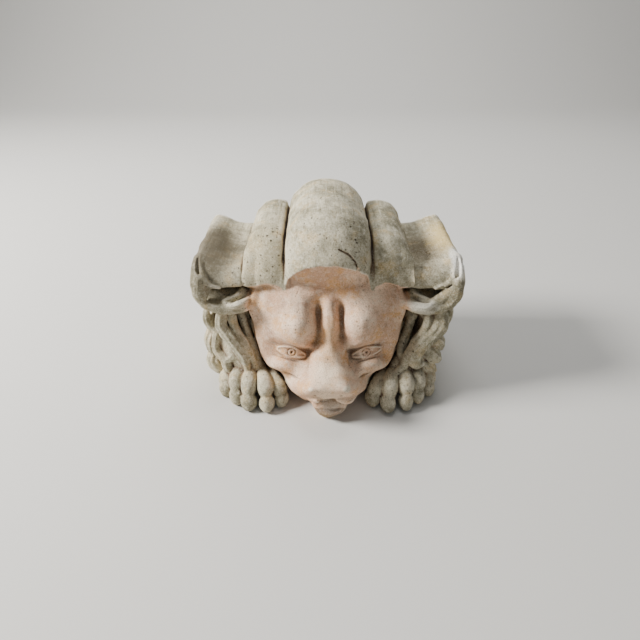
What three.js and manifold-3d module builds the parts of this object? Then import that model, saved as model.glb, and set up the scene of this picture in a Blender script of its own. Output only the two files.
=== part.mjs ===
// A lion gargoyle head of cast stone: a moulded hood of five ribs bends down over the
// forehead, the ears lie under its wings, and locks of the mane fall to the two paws.
// Millimetres, +Z up, the face looks along -Y. The origin is on the ground, in the middle of
// the length and the width. While it is drawn, y counts from where the hood starts to bend down.

import * as THREE from 'three';
import { LoftGeometry } from 'three/addons/geometries/LoftGeometry.js';
import { mergeVertices } from 'three/addons/utils/BufferGeometryUtils.js';
import Module from 'manifold-3d';

const wasm = await Module();
wasm.setup();

// Sizes of the moulded hood
const mainRibWidth = 66;
const sideRibWidth = 30;
const wingWidth = 37;
const lipHeight = 87;
const coveRise = 13;
const mainRibRise = 39;
const sideRibRise = 21;
const rimRise = 8;
const rimRound = 8;
const mainRibRound = 28;
const grooveDepth = 4;
const grooveWidth = 1.6;
const bendStart = 11;
const lipFront = -20;
const mainLipOverhang = 14;
const mainLipHeight = 24;
const wingThickness = 9;

// Sizes of the block that carries it
const backFace = 73;
const bodySetback = 14;
const wingOverhang = 10;
const footTaper = 8;
const bodyLocks = 4;
const bodyLockDepth = 5;
const bodyLockSway = 6;

// How far the face leans back, and the lip's height and the half width in the units it is drawn in
const faceLean = THREE.MathUtils.degToRad(35);
const lipInLionUnits = 87;
const halfWidthInLionUnits = 100;

const halfWidth = mainRibWidth / 2 + sideRibWidth + wingWidth;
const coveFloor = lipHeight + coveRise;
const rimTop = coveFloor + rimRise;
const bodyFront = lipFront + bodySetback;
const bodyHalfWidth = halfWidth - wingOverhang;

// The lion fills the height under the hood's lip. It is drawn in units that grow with that
// height, from the ground up and back from the lip, where x is the distance from its middle.
const unit = lipHeight / lipInLionUnits;
const span = (x, y, z) => new THREE.Vector3(x, y, z).multiplyScalar(unit);
const at = (x, y, z) => span(x, y + 20, z).add(new THREE.Vector3(0, lipFront, 0));

// Beside the face the lion is as wide as the hood, so there x grows with the hood's width.
const beside = (x, y, z) => at(0, y, z).setX((x * halfWidth) / halfWidthInLionUnits);

const bell = (x, centre, spread) => Math.exp(-(((x - centre) / spread) ** 2));
const step = (edge0, edge1, x) => THREE.MathUtils.smoothstep(x, edge0, edge1);

// A smooth curve through a few [place, value] pairs.
function profile(keys) {
  return (t) => {
    const last = keys.length - 1;
    if (t <= keys[0][0]) return keys[0][1];
    if (t >= keys[last][0]) return keys[last][1];
    const i = keys.findIndex(([place]) => place > t) - 1;
    const slope = (k) => {
      const a = keys[Math.max(k - 1, 0)];
      const b = keys[Math.min(k + 1, last)];
      return (b[1] - a[1]) / (b[0] - a[0]);
    };
    const span = keys[i + 1][0] - keys[i][0];
    const s = (t - keys[i][0]) / span;
    const rest = 1 - s;
    return keys[i][1] * rest * rest * (1 + 2 * s) + keys[i + 1][1] * s * s * (3 - 2 * s)
      + span * s * rest * (slope(i) * rest - slope(i + 1) * s);
  };
}

function solidOf(geometry) {
  const bare = new THREE.BufferGeometry().copy(geometry);
  bare.deleteAttribute('normal');
  bare.deleteAttribute('uv');
  const merged = mergeVertices(bare, 1e-4);
  return new wasm.Manifold(new wasm.Mesh({
    numProp: 3,
    vertProperties: merged.attributes.position.array,
    triVerts: new Uint32Array(merged.index.array),
  }));
}

// A closed skin over a row of rings. The rings are turned to run the way a loft needs.
function loft(rings) {
  const middle = (ring) => ring.reduce((sum, p) => sum.add(p), new THREE.Vector3()).divideScalar(ring.length);
  const centre = middle(rings[0]);
  const onward = middle(rings[1]).sub(centre);
  const turning = new THREE.Vector3();
  rings[0].forEach((p, i) => {
    const next = rings[0][(i + 1) % rings[0].length];
    turning.add(p.clone().sub(centre).cross(next.clone().sub(centre)));
  });
  const sections = turning.dot(onward) > 0 ? rings : rings.map((ring) => [...ring].reverse());
  return solidOf(new LoftGeometry(sections, { capStart: true, capEnd: true }));
}

const join = (solids) => solids.reduce((all, one) => all.add(one));

function ellipsoid(centre, radii, columns = 12, rows = 8) {
  const ball = new THREE.SphereGeometry(1, columns, rows);
  ball.scale(radii.x, radii.y, radii.z);
  ball.translate(centre.x, centre.y, centre.z);
  return solidOf(ball);
}

function box(low, high) {
  const block = new THREE.BoxGeometry(high[0] - low[0], high[1] - low[1], high[2] - low[2]);
  block.translate((low[0] + high[0]) / 2, (low[1] + high[1]) / 2, (low[2] + high[2]) / 2);
  return solidOf(block);
}

// A round-sided strand along a curve. radiusAt gives its radius from 0, the root, to 1, the tip.
function strand(points, radiusAt, sides = 6, steps = 7, flatness = 1) {
  const curve = new THREE.CatmullRomCurve3(points);
  const frames = curve.computeFrenetFrames(steps, false);
  const sections = [];
  for (let i = 0; i <= steps; i++) {
    const centre = curve.getPointAt(i / steps);
    const radius = radiusAt(i / steps);
    const ring = [];
    for (let j = 0; j < sides; j++) {
      const angle = (j / sides) * 2 * Math.PI;
      ring.push(centre.clone()
        .addScaledVector(frames.normals[i], Math.cos(angle) * radius * flatness)
        .addScaledVector(frames.binormals[i], Math.sin(angle) * radius));
    }
    sections.push(ring);
  }
  return loft(sections);
}

// Height of the hood's top surface over a distance from its middle.
function hoodTop(x) {
  const a = Math.abs(x);
  const mainHalf = mainRibWidth / 2;
  const arch = (share) => Math.sqrt(Math.max(0, 1 - share * share));
  const heights = [coveFloor];
  if (a < mainHalf) {
    heights.push(coveFloor + mainRibRise - mainRibRound * (1 - arch(a / mainHalf)));
  }
  const sideRadius = sideRibWidth * 0.69;
  const sideCentre = mainHalf + sideRibWidth - sideRadius;
  heights.push(coveFloor + sideRibRise * arch((a - sideCentre) / sideRadius));
  const coveStart = mainHalf + sideRibWidth;
  const rimMiddle = halfWidth - rimRound / 2;
  heights.push(coveFloor + rimRise * step(coveStart + wingWidth * 0.2, rimMiddle, a));
  const overRim = a - (halfWidth - rimRound);
  const rounding = overRim > 0 ? rimRound * (1 - arch(overRim / rimRound)) : 0;
  const groove = grooveDepth * bell(a, mainHalf - 0.8, grooveWidth);
  return Math.max(...heights) - rounding - groove;
}

// The hood's outline, seen from the side, at a distance from its middle.
function hoodOutline(x) {
  const top = hoodTop(x);
  const radius = top - lipHeight;
  const centreY = Math.min(bendStart, lipFront + radius);
  const lean = mainLipOverhang / mainLipHeight;
  const ahead = (angle) => {
    const y = centreY - radius * Math.sin(angle);
    const z = lipHeight + radius * Math.cos(angle);
    return lipFront - lean * (z - lipHeight) - y;
  };
  let end = Math.PI / 2;
  if (ahead(end) > 0) {
    let low = 0;
    for (let i = 0; i < 30; i++) {
      const middle = (low + end) / 2;
      if (ahead(middle) > 0) end = middle; else low = middle;
    }
  }
  const overRim = Math.max(0, Math.abs(x) - (halfWidth - rimRound)) / rimRound;
  const under = lipHeight - wingThickness + (wingThickness + 6) * overRim ** 2;
  const points = [[backFace, under], [backFace, top]];
  const steps = 6;
  for (let i = 0; i <= steps; i++) {
    const angle = (end * i) / steps;
    points.push([centreY - radius * Math.sin(angle), lipHeight + radius * Math.cos(angle)]);
  }
  const [lipY, lipZ] = points[points.length - 1];
  const inner = lipY + 7;
  points.push([inner, lipZ - 0.5], [inner + 9, Math.min(under, lipZ - 1)]);
  return points.map(([y, z]) => new THREE.Vector3(x, y, z));
}

// Distances from the middle at which the hood's outline is drawn, closer where it curves more.
function hoodStations() {
  const mainHalf = mainRibWidth / 2;
  const half = [];
  for (let i = 0; i <= 5; i++) half.push((mainHalf - 2.2) * Math.sin((i / 5) * Math.PI / 2));
  half.push(mainHalf - 0.8, mainHalf + 1);
  for (let i = 1; i <= 5; i++) {
    half.push(mainHalf + 1 + (sideRibWidth - 1) * Math.sin((i / 5) * Math.PI / 2));
  }
  const rimStart = halfWidth - rimRound;
  const coveStart = mainHalf + sideRibWidth;
  for (let i = 1; i <= 3; i++) half.push(coveStart + ((rimStart - coveStart) * i) / 3);
  for (let i = 1; i <= 3; i++) half.push(rimStart + (rimRound - 0.2) * Math.sin((i / 3) * Math.PI / 2));
  return [...half.slice(1).reverse().map((x) => -x), ...half];
}

function hood() {
  return loft(hoodStations().map(hoodOutline));
}

// The block behind the face. Locks of the mane run down its sides as waves that the back cuts off.
function body() {
  const rows = 10;
  const depth = backFace - bodyFront;
  const sections = [];
  for (let i = 0; i <= rows; i++) {
    const z = ((lipHeight + 2) * i) / rows;
    const half = bodyHalfWidth - footTaper * (1 - step(0, lipHeight / 4, z));
    const drift = bodyLockSway * Math.sin((z / lipHeight) * Math.PI * 2.2) - z * 0.12;
    const side = [];
    for (let j = 0; j <= bodyLocks * 4; j++) {
      const y = bodyFront + (depth * j) / (bodyLocks * 4);
      const phase = ((y + drift - bodyFront) / depth) * bodyLocks * Math.PI;
      side.push([half - bodyLockDepth * (1 - Math.abs(Math.sin(phase))), y]);
    }
    const left = side.map(([x, y]) => new THREE.Vector3(-x, y, z)).reverse();
    const right = side.map(([x, y]) => new THREE.Vector3(x, y, z));
    sections.push([...left, ...right]);
  }
  return loft(sections);
}

// The face is a relief over a plane that leans back: across is the distance from the middle,
// down runs from the brow to the chin.
const faceHalfWidth = profile([[-12, 50], [0, 57], [10, 60], [27, 56.5], [45, 53], [54, 49.5], [60, 44.5],
  [63.5, 37.5], [67, 34.5], [71, 32.5], [77, 29], [84, 19]]);
const middleHeight = profile([[-12, 4], [-6, 5], [9, 4], [21, 2.5], [31, 2], [48, -1], [58, -3],
  [66, -1], [74, 1], [80, -1], [84, -6]]);
const edgeHeight = profile([[-12, -8], [8, -8], [27, -13], [45, -18], [55, -20], [66, -19], [76, -17],
  [84, -16]]);
const noseHeight = profile([[40, 0], [48, 3], [56, 7.5], [64, 11.5], [71, 14], [75, 13.2], [79, 8.5],
  [82, 2], [84, 0]]);
const noseHalfWidth = profile([[40, 8], [50, 11], [58, 14.5], [66, 17.5], [74, 19], [84, 18]]);
const cheekEdge = profile([[50, 0], [57, 2.5], [62, 1.5], [67, -2], [72, 0]]);

function faceRelief(across, down) {
  const a = Math.abs(across);
  const share = Math.min(1, a / faceHalfWidth(down));
  const edge = edgeHeight(down);
  const dome = edge + (middleHeight(down) - edge) * (1 - share ** 2.4);
  const valley = -2.5 * bell(a, 0, 12) * bell(down, 6, 9);
  const brow = 10.5 * bell(a, 24, 14.5) * bell(down, 29, 16.5);
  const furrowWidth = 3.4 + 1.4 * step(24, 42, down);
  const furrow = -6.5 * bell(a, 8.5, furrowWidth) * step(5, 20, down) * (1 - step(39, 49, down))
    - 4.6 * bell(a, 13, 6) * bell(down, 43, 7);
  const ridge = 2 * bell(a, 0, 5) * step(2, 16, down) * (1 - step(44, 56, down));
  const browEdge = 47 - 6.5 * step(12, 44, a);
  const socketDepth = 8.5 - 4 * step(18, 36, a);
  const socket = -socketDepth * step(browEdge - 4.2, browEdge + 1.2, down) * (1 - step(50, 63, down))
    * step(9, 17, a) * (1 - step(40, 52, a));
  const eyeball = 3.5 * bell(a, 28, 9) * bell(down, 48.5 - (a - 28) * 0.26, 3.2);
  const cheekbone = 3.5 * bell(a, 36, 10) * bell(down, 57, 5.5) + cheekEdge(down) * bell(a, 34, 12);
  const nose = noseHeight(down) * Math.exp(-((a / noseHalfWidth(down)) ** 3.2));
  const pad = 7.5 * bell(a, 16, 11) * bell(down, 74, 9.5);
  return dome + valley + brow + furrow + ridge + socket + eyeball + cheekbone + nose + pad;
}

// A point of the face's relief in the part's own frame.
function facePoint(across, down, height) {
  const s = Math.sin(faceLean);
  const c = Math.cos(faceLean);
  return new THREE.Vector3(
    across * unit,
    lipFront - (down * s + height * c) * unit,
    lipHeight + 1 - (down * c - height * s) * unit,
  );
}

function face() {
  const top = -12;
  const lipDrop = 84;
  const rows = 26;
  const columns = 28;
  const deep = -42;
  const sections = [];
  for (let i = 0; i <= rows; i++) {
    const down = top + ((lipDrop - top) * i) / rows;
    const half = faceHalfWidth(down);
    const ring = [facePoint(-half * 0.97, down, deep)];
    for (let j = 0; j <= columns; j++) {
      const share = (j / columns) * 2 - 1;
      const across = half * Math.sign(share) * Math.abs(share) ** 1.25;
      ring.push(facePoint(across, down, faceRelief(across, down)));
    }
    ring.push(facePoint(half * 0.97, down, deep));
    sections.push(ring);
  }
  return loft(sections);
}

// The lower jaw narrows to a chin that touches the ground, and the throat joins it to the block.
function jaw() {
  const outline = [[0, -56, 7, 9], [4, -55, 10, 12.5], [9, -53.5, 13, 14], [15, -51, 17, 15],
    [25, -44, 21, 17]];
  const rings = outline.map(([z, y, wide, deep]) => {
    const ring = [];
    for (let j = 0; j < 13; j++) {
      const angle = (j / 13) * 2 * Math.PI;
      ring.push(at(wide * Math.cos(angle), y + deep * Math.sin(angle), z));
    }
    return ring;
  });
  const throat = strand([at(0, -38, 12), at(0, -10, 14), at(0, 10, 14)], (s) => (20 + 8 * s) * unit, 8, 2);
  return loft(rings).add(throat);
}

// The mouth is a shallow bowl between the nose and the lower lip, a little to the right.
function mouth() {
  return ellipsoid(at(2.5, -71, 16.5), span(9, 6, 4.6), 10, 6);
}

// One ear: a long cup that lies sideways under the wing, framed by a rim, with a tuft in it.
const earRim = [[95, -20, 92], [94.5, -24, 83], [87, -27, 76], [75, -28, 73], [63, -25, 74], [57, -21, 76],
  [54, -17, 80]];

function ear(side) {
  const path = earRim.map(([x, y, z]) => beside(side * x, y, z));
  return {
    shell: ellipsoid(beside(side * 76, -12, 75), span(20, 14, 8.5), 12, 7),
    rim: strand(path, (s) => (4.4 - 2 * s) * unit, 6, 8),
    hollow: ellipsoid(beside(side * 75, -18, 81.8), span(17, 18, 5.4), 11, 7),
    tuft: ellipsoid(beside(side * 69, -20, 76.5), span(7, 7, 4), 8, 6),
  };
}

// Each toe runs from the wrist over its knuckle and waist to a round tip.
const toeKnuckles = [[80, -29, 11], [70.5, -37, 15.5], [60.5, -43, 17.5], [48.5, -45, 17], [39, -43, 13.5]];
const toeTips = [[80, -37, 6.5], [70.5, -46.5, 7], [60.5, -53, 7.5], [46.5, -55, 7.5], [35.5, -49, 7]];
const toeRadius = profile([[0, 5], [0.3, 6.7], [0.42, 6.1], [0.6, 4.3], [0.8, 6.2], [1, 3.2]]);

function paw(side) {
  const parts = [ellipsoid(beside(side * 62, -26, 10), span(20, 18, 15), 10, 7)];
  toeKnuckles.forEach(([x, y, z], i) => {
    const [tipX, tipY, tipZ] = toeTips[i];
    const wrist = beside(side * (62 + (x - 62) * 0.45), -20, 18);
    const knuckle = beside(side * x, y, z);
    const tip = beside(side * tipX, tipY, tipZ);
    const waist = knuckle.clone().lerp(tip, 0.5).add(span(0, -1.5, 0.5));
    const end = tip.clone().add(span(0, -3.5, -2.5));
    parts.push(strand([wrist, knuckle, waist, tip, end], (s) => toeRadius(s) * unit, 6, 7));
  });
  return join(parts);
}

// The locks in front, left side first. Each has a root, some turns and a tip.
const frontLocks = [
  { path: [[-91.5, -13, 72], [-94, -14, 60], [-91, -16, 50], [-82, -20, 46]], radius: 3.3 },
  { path: [[-79, -21, 70], [-81, -25, 58], [-74, -28, 48], [-68, -31, 39], [-62, -38, 22]], radius: 4.8 },
  { path: [[-74, -20, 68], [-71, -24, 54], [-65, -28, 43], [-60, -31, 34], [-56, -35, 22]], radius: 3.2 },
  { path: [[-59, -10, 52], [-52, -21, 36], [-46, -29, 26], [-40, -36, 19]], radius: 3.2 },
  { path: [[-87, -21, 43], [-87, -23, 33], [-80, -27, 26], [-73, -28, 31], [-75, -27, 40]], radius: 3.4 },
  { path: [[-90, -13, 44], [-94, -15, 34], [-93, -17, 24]], radius: 5.2 },
  { path: [[-91, -12, 26], [-93, -17, 15], [-87, -22, 8]], radius: 5.4 },
  { path: [[-82, -24, 28], [-79, -29, 21], [-76, -30, 15]], radius: 4.4 },
  { path: [[82, -21, 71], [86, -25, 61], [81, -28, 52], [72, -31, 44], [66, -35, 30]], radius: 5.6 },
  { path: [[78, -20, 70], [76, -26, 56], [67, -30, 43], [61, -34, 33], [60, -37, 25]], radius: 3.2 },
  { path: [[94, -12, 72], [94.5, -13, 57], [90, -17, 48], [83, -22, 42]], radius: 3 },
  { path: [[67, -12, 58], [61, -19, 42], [58, -25, 32], [60, -30, 24], [41, -38, 16]], radius: 3.4 },
  { path: [[82, -21, 43], [88, -21, 37], [92, -19, 26]], radius: 5 },
  { path: [[76, -26, 38], [82, -25, 27], [90, -22, 16]], radius: 5 },
  { path: [[73, -28, 24], [80, -28, 14], [89, -24, 9]], radius: 5.2 },
];
const lockRadius = profile([[0, 0.75], [0.25, 1], [0.7, 0.9], [1, 0.35]]);

function locks() {
  return frontLocks.map(({ path, radius }) => strand(
    path.map(([x, y, z]) => beside(x, y, z)),
    (s) => lockRadius(s) * radius * unit,
    5,
    path.length + 1,
  ));
}

// The mass of the mane that the locks lie on, with a deep hollow between it and the face.
function maneMass(side) {
  const slope = [[84, -6, 40], [76, -16, 34], [66, -24, 26], [58, -28, 18]];
  const back = ellipsoid(beside(side * 77, -6, 42), span(17, 16, 34), 10, 8);
  const front = strand(slope.map(([x, y, z]) => beside(side * x, y, z)), () => 10.5 * unit, 8, 3);
  return back.add(front);
}

function maneHollow(side) {
  return ellipsoid(beside(side * 65.5, -20, 51.5), span(9, 11, 14.5), 10, 7);
}

// The outer roll of a wing's rim runs down into the ear, with a slit beside it.
const besideRim = (side, points) => points.map(
  ([inward, back, up]) => new THREE.Vector3(side * (halfWidth - inward), lipFront + back, lipHeight + up),
);

function rimRoll(side) {
  const path = besideRim(side, [[4.8, 16, 15], [4.8, 7, 11], [5.2, 1, 5], [7, -3, -3]]);
  return strand(path, (s) => 4.2 + 0.6 * s, 6, 5);
}

function rimSlit(side) {
  const path = besideRim(side, [[5, 9, 17], [5, 4, 13], [6.7, 0, 8], [10.5, -2, 3.5]]);
  return strand(path, (s) => 0.6 + 1.3 * Math.sin(Math.PI * s), 5, 4);
}

function lionHead() {
  const sides = [-1, 1];
  const ears = sides.map(ear);
  const cups = ears.map(({ shell, rim }) => shell.add(rim));
  const block = join([hood(), body(), face(), ...cups]);
  const behind = ears.reduce((whole, { hollow }) => whole.subtract(hollow), block);
  const jaws = jaw().subtract(mouth());
  const massed = join([behind, ...sides.map(maneMass)]);
  const carved = sides.map(maneHollow).reduce((left, hollow) => left.subtract(hollow), massed);
  const whole = join([carved, jaws, ...sides.map(paw), ...sides.map(rimRoll), ...locks(),
    ...ears.map(({ tuft }) => tuft)]);
  const far = 2 * halfWidth;
  const below = box([-far, -far, -far], [far, far, 0]);
  const beyond = box([-far, backFace, -far], [far, far, far]);
  const cuts = [...sides.map(rimSlit), below, beyond];
  return cuts.reduce((left, cut) => left.subtract(cut), whole);
}

function geometryOf(solid) {
  const mesh = solid.getMesh();
  const geometry = new THREE.BufferGeometry();
  geometry.setAttribute('position', new THREE.BufferAttribute(mesh.vertProperties, 3));
  geometry.setIndex(new THREE.BufferAttribute(mesh.triVerts, 1));
  geometry.computeBoundingBox();
  const { min, max } = geometry.boundingBox;
  geometry.translate(0, -(min.y + max.y) / 2, 0);
  geometry.computeVertexNormals();
  return geometry;
}

const castStone = new THREE.MeshStandardMaterial({ color: 0xb9b196, roughness: 0.92, metalness: 0 });

const group = new THREE.Group();
const head = new THREE.Mesh(geometryOf(lionHead()), castStone);
head.name = 'gargoyle_head';
group.add(head);

export default group;
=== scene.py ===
# %% [markdown]
# # A small lion gargoyle head of cast stone
# The real piece is one casting: a moulded hood bends down over a lion's forehead, and the face
# slopes forward between two paws. Carving like this could be built from separate meshes, but
# their seams would show. Here it is modelled the way a carver thinks, as one block of space that
# shapes are added to and cut from, and then skinned once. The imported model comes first.

# %% The frame
import math

import bpy
import numpy as np
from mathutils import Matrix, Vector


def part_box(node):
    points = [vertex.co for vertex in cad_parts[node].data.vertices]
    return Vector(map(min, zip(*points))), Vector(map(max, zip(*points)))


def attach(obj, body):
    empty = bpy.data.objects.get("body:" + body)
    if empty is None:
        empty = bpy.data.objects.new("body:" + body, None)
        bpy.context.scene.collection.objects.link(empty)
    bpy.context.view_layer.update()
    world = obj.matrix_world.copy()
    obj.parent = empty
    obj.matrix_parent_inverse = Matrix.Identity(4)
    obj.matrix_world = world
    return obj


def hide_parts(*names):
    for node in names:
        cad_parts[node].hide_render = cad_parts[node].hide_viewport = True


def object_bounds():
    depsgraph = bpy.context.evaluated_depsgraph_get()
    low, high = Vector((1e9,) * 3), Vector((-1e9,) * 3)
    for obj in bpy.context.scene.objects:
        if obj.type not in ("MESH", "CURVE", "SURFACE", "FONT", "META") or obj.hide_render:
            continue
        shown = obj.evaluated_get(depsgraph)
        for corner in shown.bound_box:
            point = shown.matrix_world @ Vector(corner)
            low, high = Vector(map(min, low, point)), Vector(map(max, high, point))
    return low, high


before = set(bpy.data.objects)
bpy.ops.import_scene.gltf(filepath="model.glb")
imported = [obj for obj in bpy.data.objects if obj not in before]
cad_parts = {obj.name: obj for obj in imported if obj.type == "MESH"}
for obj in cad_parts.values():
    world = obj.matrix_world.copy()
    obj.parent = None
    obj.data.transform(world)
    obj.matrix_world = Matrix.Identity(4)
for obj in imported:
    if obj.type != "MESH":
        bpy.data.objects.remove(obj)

import openvdb

cad_box = [list(corner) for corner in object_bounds()]
low, high = (np.array(corner) * 1000 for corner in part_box("gargoyle_head"))
print("the casting's box in mm:", np.round(low, 1), np.round(high, 1))

# %% [markdown]
# ## Sizes
# A mould maker works from a few sizes: the widths of the five ribs, how high each stands over
# the lip, and where the hood starts to bend. The outer sizes come from the frame. Inside this
# script y counts from where the hood starts to bend, and everything is in millimetres.

# %% Sizes of the hood and the block
HALF_WIDTH = high[0] + 0.2
MAIN_HALF = 33.0
SIDE_RIB = 30.0
LIP_HEIGHT = 87.0
COVE_FLOOR = LIP_HEIGHT + 13
MAIN_RISE = high[2] - COVE_FLOOR
SIDE_RISE = 21.0
RIM_RISE = 8.0
RIM_ROUND = 8.0
MAIN_ROUND = 28.0
BEND_START = 11.0
LIP_FRONT = -20.0
LIP_LEAN = 14 / 24
WING_THICKNESS = 9.0
BACK_FACE = 73.0
BODY_FRONT = LIP_FRONT + 14
FACE_LEAN = math.radians(35)
CELL = 0.7

shift_y = high[1] - BACK_FACE
print("the hood rises", round(MAIN_RISE, 1), "mm over its coves")
print("the drawing is moved by", round(shift_y, 2), "mm")

# %% [markdown]
# ## The block of clay
# The block is a grid of numbers. Each one says how far that place is from the surface, negative
# inside. Joining two shapes takes the smaller distance, cutting takes the larger, and a soft
# minimum melts them together as a thumb does with clay. Each shape only touches its own window.

# %% Soft joining and cutting
def soft_min(a, b, blend):
    blend = np.maximum(blend, 1e-4)
    share = np.clip(0.5 + 0.5 * (b - a) / blend, 0, 1)
    return b + (a - b) * share - blend * share * (1 - share)


def soft_max(a, b, blend):
    return -soft_min(-a, -b, blend)


class Clay:
    def __init__(self, low, high, cell):
        self.low = np.array(low, float)
        self.cell = cell
        counts = np.ceil((np.array(high) - self.low) / cell).astype(int) + 1
        self.axes = [self.low[i] + cell * np.arange(counts[i]) for i in range(3)]
        self.field = np.full(counts, 9.0, np.float32)

    def window(self, low, high):
        parts = []
        for axis, start, stop in zip(self.axes, low, high):
            first, last = np.searchsorted(axis, (start, stop))
            parts.append(slice(int(first), int(last)))
        grids = [axis[part] for axis, part in zip(self.axes, parts)]
        return tuple(parts), np.meshgrid(*grids, indexing="ij", sparse=True)

    def add(self, low, high, shape, blend=0.0):
        place, grids = self.window(low, high)
        self.field[place] = soft_min(self.field[place], shape(*grids), blend)

    def cut(self, low, high, shape, blend=0.0):
        place, grids = self.window(low, high)
        self.field[place] = soft_max(self.field[place], -shape(*grids), blend)

    def sample(self, points, values):
        place = (points - self.low) / self.cell
        place = np.clip(place, 0, np.array(values.shape) - 1.001)
        base = place.astype(int)
        part = place - base
        total = np.zeros(len(points))
        for corner in np.ndindex(2, 2, 2):
            weight = np.prod(np.where(corner, part, 1 - part), axis=1)
            index = base + np.array(corner)
            total += weight * values[index[:, 0], index[:, 1], index[:, 2]]
        return total


clay = Clay((-102, -78.5, -2), (102, 75, 141), CELL)
print("grid points:", clay.field.shape, "in all", clay.field.size)

# %% [markdown]
# ## Curves and simple shapes
# The rest is drawn with four helpers: a bell-shaped bump, a smooth step, a smooth curve through
# a few points, and a rope. A rope is a row of round pieces whose thickness changes along it.
# Grooves along a rope turn it into a lock of hair. They follow the rope, as a carver's gouge does.

# %% Helpers for shapes
def bell(value, centre, spread):
    return np.exp(-(((value - centre) / spread) ** 2))


def step(start, stop, value):
    share = np.clip((value - start) / (stop - start), 0, 1)
    return share * share * (3 - 2 * share)


def through(keys, value):
    places, heights = np.array(keys, float).T
    slopes = np.gradient(heights, places)
    value = np.clip(value, places[0], places[-1])
    i = np.clip(np.searchsorted(places, value, side="right") - 1, 0, len(places) - 2)
    span = places[i + 1] - places[i]
    s = (value - places[i]) / span
    rest = 1 - s
    ends = heights[i] * rest * rest * (1 + 2 * s) + heights[i + 1] * s * s * (3 - 2 * s)
    return ends + span * s * rest * (slopes[i] * rest - slopes[i + 1] * s)


def smooth_path(points, count):
    points = np.array(points, float)
    places = np.linspace(0, 1, len(points))
    wanted = np.linspace(0, 1, count)
    columns = [through(np.column_stack((places, points[:, i])), wanted) for i in range(3)]
    return np.stack(columns, axis=1)


def ellipsoid(centre, radii):
    def shape(x, y, z):
        px, py, pz = ((v - c) / r for v, c, r in zip((x, y, z), centre, radii))
        length = np.sqrt(px * px + py * py + pz * pz)
        return (length - 1) * min(radii)
    return shape


def rope(points, radii, groove=0.0, pitch=2.6, outward=(0, -1, 0)):
    def shape(x, y, z):
        best = None
        for a, b, start, stop in zip(points[:-1], points[1:], radii[:-1], radii[1:]):
            along = b - a
            px, py, pz = x - a[0], y - a[1], z - a[2]
            t = np.clip((px * along[0] + py * along[1] + pz * along[2]) / along.dot(along), 0, 1)
            px, py, pz = px - t * along[0], py - t * along[1], pz - t * along[2]
            radius = start + (stop - start) * t
            here = np.sqrt(px * px + py * py + pz * pz) - radius
            if groove:
                side = np.cross(along, outward)
                side = side / np.linalg.norm(side)
                across = px * side[0] + py * side[1] + pz * side[2]
                fade = np.clip(radius / max(radii) * 1.6 - 0.6, 0, 1)
                here = here + groove * fade * (0.5 + 0.5 * np.cos(2 * math.pi * across / pitch))
            best = here if best is None else np.minimum(best, here)
        return best
    return shape


def mirrored(points, side):
    return [(side * x, y, z) for x, y, z in points]


def add_ellipsoid(centre, radii, blend=0.0, cut=False):
    reach = np.array(radii) + 2 + blend
    tool = clay.cut if cut else clay.add
    tool(centre - reach, centre + reach, ellipsoid(centre, radii), blend)


def add_rope(points, thickness, blend=0.0, cut=False, count=16, **carving):
    path = smooth_path(points, count)
    radii = np.array([thickness(s) for s in np.linspace(0, 1, count)])
    reach = radii.max() + 2 + blend
    tool = clay.cut if cut else clay.add
    tool(path.min(axis=0) - reach, path.max(axis=0) + reach, rope(path, radii, **carving), blend)

# %% [markdown]
# ## The hood
# Seen from above the hood is five ribs that run back to a cut face. Its top is one curve across
# the width, a big round rib, two side ribs, and a hollow cove with a raised rim on each wing.
# Each part bends down at the front over its own radius, so the same formula serves them all.

# %% The hood's cross-section
def arch(share):
    return np.sqrt(np.clip(1 - share * share, 0, 1))


def hood_top(x):
    a = np.abs(x)
    main = COVE_FLOOR + MAIN_RISE - MAIN_ROUND * (1 - arch(a / MAIN_HALF))
    main = np.where(a < MAIN_HALF, main, 0)
    side_radius = SIDE_RIB * 0.69
    side_centre = MAIN_HALF + SIDE_RIB - side_radius
    side = COVE_FLOOR + SIDE_RISE * arch((a - side_centre) / side_radius)
    cove_start = MAIN_HALF + SIDE_RIB
    wing_width = HALF_WIDTH - cove_start
    rim = COVE_FLOOR + RIM_RISE * step(cove_start + wing_width * 0.2, HALF_WIDTH - RIM_ROUND / 2, a)
    over_rim = np.clip((a - (HALF_WIDTH - RIM_ROUND)) / RIM_ROUND, 0, 1)
    rounding = RIM_ROUND * (1 - arch(over_rim))
    groove = 5.5 * bell(a, MAIN_HALF - 0.8, 1.3) + 0.7 * bell(a, cove_start + 0.5, 1.4)
    return np.maximum(np.maximum(main, side), rim) - rounding - groove


def lip_rise(radius):
    offset = np.minimum(BEND_START - LIP_FRONT, radius)
    squared = 1 + LIP_LEAN ** 2
    root = np.sqrt(np.maximum((offset * LIP_LEAN) ** 2 - squared * (offset ** 2 - radius ** 2), 0))
    return np.maximum((root - offset * LIP_LEAN) / squared, 0)


def hood(x, y, z):
    top = hood_top(x)
    slope = np.gradient(top, clay.cell, axis=0)
    radius = top - LIP_HEIGHT
    centre = np.minimum(BEND_START, LIP_FRONT + radius)
    over = z - LIP_HEIGHT
    bend = np.hypot(np.minimum(y - centre, 0), over)
    skin = np.where(y > centre, over, bend) - radius
    skin = skin / np.sqrt(1 + np.minimum(slope, 3) ** 2)
    ahead = (LIP_FRONT - LIP_LEAN * over - y) / math.hypot(1, LIP_LEAN)
    rise = lip_rise(radius)
    lip_y = LIP_FRONT - LIP_LEAN * rise
    over_rim = np.clip((np.abs(x) - (HALF_WIDTH - RIM_ROUND)) / RIM_ROUND, 0, 1)
    under = LIP_HEIGHT - WING_THICKNESS + (WING_THICKNESS + 6) * over_rim ** 2
    share = np.clip((y - lip_y - 6) / 9, 0, 1)
    floor = (LIP_HEIGHT + rise - 0.5) * (1 - share) + under * share
    below = (floor - z) * 0.75
    whole = soft_max(skin, ahead, 1.6)
    return soft_max(whole, below, 1.2)


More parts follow.
